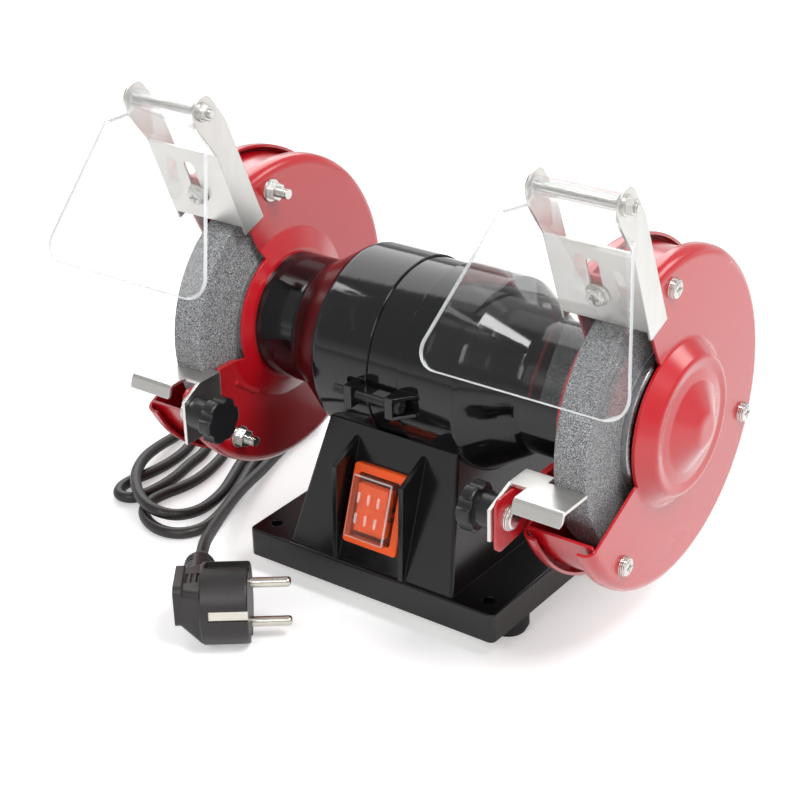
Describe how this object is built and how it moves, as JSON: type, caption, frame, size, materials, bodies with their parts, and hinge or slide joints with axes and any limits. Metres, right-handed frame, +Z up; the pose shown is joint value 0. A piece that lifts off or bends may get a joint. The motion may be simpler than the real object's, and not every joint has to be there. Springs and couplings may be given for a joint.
{
  "type": "bench grinder",
  "caption": "Bench grinder with guarded grinding wheels either side of a motor on a pedestal, clear eye shields, tool rests, a covered rocker switch and a mains lead with plug.",
  "frame": {"origin": "on the bench under the middle of the machine, measured without the mains lead and its plug", "axes": "+X along the wheel shaft to the right, -Y to the front with the switch and the tool rests, +Z up"},
  "size_m": [0.3681, 0.2604, 0.2367],
  "materials": {
    "black_base": "satin",
    "zinc_sheet": "satin zinc plate",
    "rubber": "matte",
    "bright_screws": "bright zinc plate",
    "black_screws": "blackened",
    "switch_black": "matte",
    "switch_orange": "gloss",
    "clear_boot": "clear",
    "cord_black": "satin",
    "capacitor_case": "satin",
    "black_enamel": "gloss",
    "lamination_steel": "satin",
    "winding_copper": "enamelled copper wire",
    "cast_aluminium": "cast",
    "bearing_steel": "polished",
    "ground_steel": "ground",
    "red_paint": "gloss",
    "abrasive_grey": "coarse grains",
    "blotter_paper": "matte",
    "knob_black": "satin",
    "clear_shield": "clear acrylic",
    "nickel": "nickel plate"
  },
  "bodies": {
    "housing": {"base_pedestal": "black_base", "bottom_plate": "zinc_sheet", "capacitor_clip": "zinc_sheet", "rubber_feet": "rubber", "foot_screws": "bright_screws", "saddle_screws": "bright_screws", "cover_bolts": "bright_screws", "cover_washers": "bright_screws", "cover_nuts": "bright_screws", "guard_screws": "bright_screws", "rest_bolts": "bright_screws", "bracket_screws": "bright_screws", "tie_screws": "black_screws", "switch_body": "switch_black", "switch_bezel": "switch_orange", "switch_cover": "clear_boot", "cord_gland": "cord_black", "cord": "cord_black", "plug_body": "cord_black", "capacitor": "capacitor_case", "motor_shell_left": "black_enamel", "motor_shell_right": "black_enamel", "stator_core": "black_enamel", "stator_windings": "winding_copper", "bearing_outer_rings": "bearing_steel", "inner_guard_left": "red_paint", "inner_guard_right": "red_paint", "outer_cover_left": "red_paint", "outer_cover_right": "red_paint", "guard_band_left": "red_paint", "guard_band_right": "red_paint", "plug_pins": "nickel", "earth_clips": "nickel"},
    "rotor": {"shaft": "ground_steel", "rotor_core": "lamination_steel", "rotor_end_rings": "cast_aluminium", "bearing_inner_rings": "bearing_steel", "bearing_balls": "bearing_steel", "wheel_left": "abrasive_grey", "wheel_right": "abrasive_grey", "wheel_flanges": "ground_steel", "wheel_blotters": "blotter_paper", "arbor_nuts": "bright_screws"},
    "rocker": {"switch_rocker": "switch_orange"},
    "bracket_left": {"spark_bracket_left": "zinc_sheet", "shield_rod_left": "bright_screws", "shield_nut_left": "bright_screws"},
    "shield_left": {"eye_shield_left": "clear_shield"},
    "rest_left": {"tool_rest_left": "zinc_sheet"},
    "knob_left": {"rest_knob_left": "knob_black"},
    "bracket_right": {"spark_bracket_right": "zinc_sheet", "shield_rod_right": "bright_screws", "shield_nut_right": "bright_screws"},
    "shield_right": {"eye_shield_right": "clear_shield"},
    "rest_right": {"tool_rest_right": "zinc_sheet"},
    "knob_right": {"rest_knob_right": "knob_black"}
  },
  "joints": [
    {"name": "shaft_spin", "type": "hinge", "parent": "housing", "child": "rotor", "pos_m": [0, 0.01199, 0.1117], "axis": [1, 0, 0], "continuous": true},
    {"name": "switch_rock", "type": "hinge", "parent": "housing", "child": "rocker", "pos_m": [0, -0.04028, 0.05282], "axis": [-1, 0, 0], "range_deg": [0, 12]},
    {"name": "bracket_slide_left", "type": "slide", "parent": "housing", "child": "bracket_left", "axis": [0, -0.3551, 0.9348], "range_m": [-0.002, 0.004]},
    {"name": "shield_tilt_left", "type": "hinge", "parent": "bracket_left", "child": "shield_left", "pos_m": [-0.10815, -0.04355, 0.22975], "axis": [-1, 0, 0], "range_deg": [-4, 85]},
    {"name": "rest_slide_left", "type": "slide", "parent": "housing", "child": "rest_left", "axis": [0, -1, 0], "range_m": [0, 0.006]},
    {"name": "knob_turn_left", "type": "hinge", "parent": "housing", "child": "knob_left", "pos_m": [-0.075, -0.06401, 0.089], "axis": [1, 0, 0], "range_deg": [0, 360]},
    {"name": "bracket_slide_right", "type": "slide", "parent": "housing", "child": "bracket_right", "axis": [0, -0.3551, 0.9348], "range_m": [-0.002, 0.004]},
    {"name": "shield_tilt_right", "type": "hinge", "parent": "bracket_right", "child": "shield_right", "pos_m": [0.10815, -0.04355, 0.22975], "axis": [-1, 0, 0], "range_deg": [-9, 80]},
    {"name": "rest_slide_right", "type": "slide", "parent": "housing", "child": "rest_right", "axis": [0, -1, 0], "range_m": [0, 0.006]},
    {"name": "knob_turn_right", "type": "hinge", "parent": "housing", "child": "knob_right", "pos_m": [0.075, -0.06401, 0.089], "axis": [-1, 0, 0], "range_deg": [0, 360]}
  ]
}
